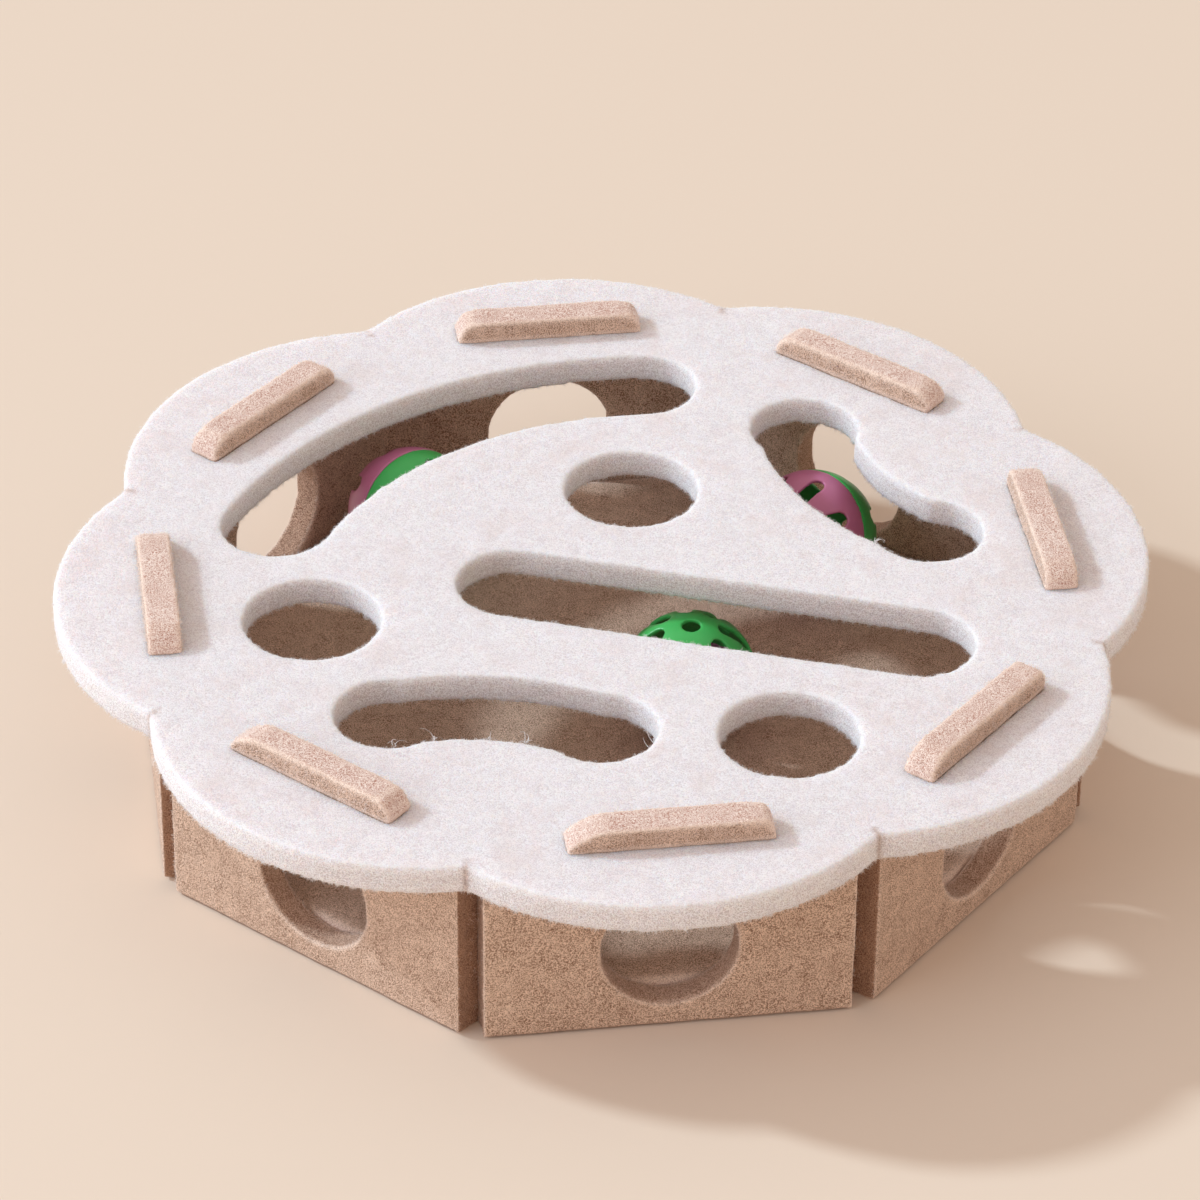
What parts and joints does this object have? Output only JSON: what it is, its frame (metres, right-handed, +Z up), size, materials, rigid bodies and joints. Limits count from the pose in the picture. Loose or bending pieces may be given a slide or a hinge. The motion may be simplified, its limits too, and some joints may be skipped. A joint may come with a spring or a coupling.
{
  "type": "felt cat maze",
  "caption": "Eight-sided felt box with paw holes in its walls and a lobed, slotted lid held by tabs, with perforated bell balls that roll inside for a cat to catch.",
  "frame": {"origin": "middle of the box on the surface that it stands on", "axes": "+Z up; wall 1, the one towards the viewer of the picture, faces -Y; +X to the right"},
  "size_m": [0.326, 0.326, 0.0705],
  "materials": {
    "white_felt": "needle-punched",
    "beige_felt": "needle-punched",
    "green_plastic": "satin",
    "pink_plastic": "satin",
    "bell_brass": "bright",
    "pellet_steel": "plain"
  },
  "bodies": {
    "base": {"base_plate": "beige_felt", "wall_panel_1": "beige_felt", "wall_panel_2": "beige_felt", "wall_panel_3": "beige_felt", "wall_panel_4": "beige_felt", "wall_panel_5": "beige_felt", "wall_panel_6": "beige_felt", "wall_panel_7": "beige_felt", "wall_panel_8": "beige_felt"},
    "cover": {"top_plate": "white_felt"},
    "ball_1_bell": {"ball_1_bell_top": "bell_brass", "ball_1_bell_cup": "bell_brass"},
    "ball_1_shell": {"ball_1_green_half": "green_plastic", "ball_1_pink_half": "pink_plastic"},
    "ball_1_pellet": {"ball_1_pellet": "pellet_steel"},
    "ball_2_bell": {"ball_2_bell_top": "bell_brass", "ball_2_bell_cup": "bell_brass"},
    "ball_2_shell": {"ball_2_green_half": "green_plastic", "ball_2_pink_half": "pink_plastic"},
    "ball_2_pellet": {"ball_2_pellet": "pellet_steel"},
    "ball_3_bell": {"ball_3_bell_top": "bell_brass", "ball_3_bell_cup": "bell_brass"},
    "ball_3_shell": {"ball_3_green_half": "green_plastic", "ball_3_pink_half": "pink_plastic"},
    "ball_3_pellet": {"ball_3_pellet": "pellet_steel"}
  },
  "joints": [
    {"name": "cover_lift", "type": "slide", "parent": "base", "child": "cover", "axis": [0, 0, 1], "range_m": [0, 0.06]},
    {"name": "ball_1_travel", "type": "slide", "parent": "base", "child": "ball_1_bell", "axis": [0.9285, -0.3714, 0], "range_m": [-0.088, 0.088]},
    {"name": "ball_1_roll", "type": "hinge", "parent": "ball_1_bell", "child": "ball_1_shell", "pos_m": [0.0245, -0.0115, 0.0293], "axis": [0.3714, 0.9285, 0], "range_deg": [-255, 255]},
    {"name": "ball_1_rattle", "type": "slide", "parent": "ball_1_bell", "child": "ball_1_pellet", "axis": [0, 0, 1], "range_m": [0, 0.006]},
    {"name": "ball_2_travel", "type": "slide", "parent": "base", "child": "ball_2_bell", "axis": [0.4147, -0.91, 0], "range_m": [-0.039, 0.058]},
    {"name": "ball_2_roll", "type": "hinge", "parent": "ball_2_bell", "child": "ball_2_shell", "pos_m": [0.0735, 0.0585, 0.0293], "axis": [0.91, 0.4147, 0], "range_deg": [-114, 169]},
    {"name": "ball_2_rattle", "type": "slide", "parent": "ball_2_bell", "child": "ball_2_pellet", "axis": [0, 0, 1], "range_m": [0, 0.006]},
    {"name": "ball_3_travel", "type": "slide", "parent": "base", "child": "ball_3_bell", "axis": [0.887, 0.4617, 0], "range_m": [-0.038, 0.044]},
    {"name": "ball_3_roll", "type": "hinge", "parent": "ball_3_bell", "child": "ball_3_shell", "pos_m": [-0.0485, 0.0865, 0.0293], "axis": [-0.4617, 0.887, 0], "range_deg": [-111, 129]},
    {"name": "ball_3_rattle", "type": "slide", "parent": "ball_3_bell", "child": "ball_3_pellet", "axis": [0, 0, 1], "range_m": [0, 0.006]}
  ],
  "couplings": [
    {"joint": "ball_1_roll", "follows": "ball_1_travel", "rad_per_m": 50},
    {"joint": "ball_2_roll", "follows": "ball_2_travel", "rad_per_m": 50},
    {"joint": "ball_3_roll", "follows": "ball_3_travel", "rad_per_m": 50}
  ]
}
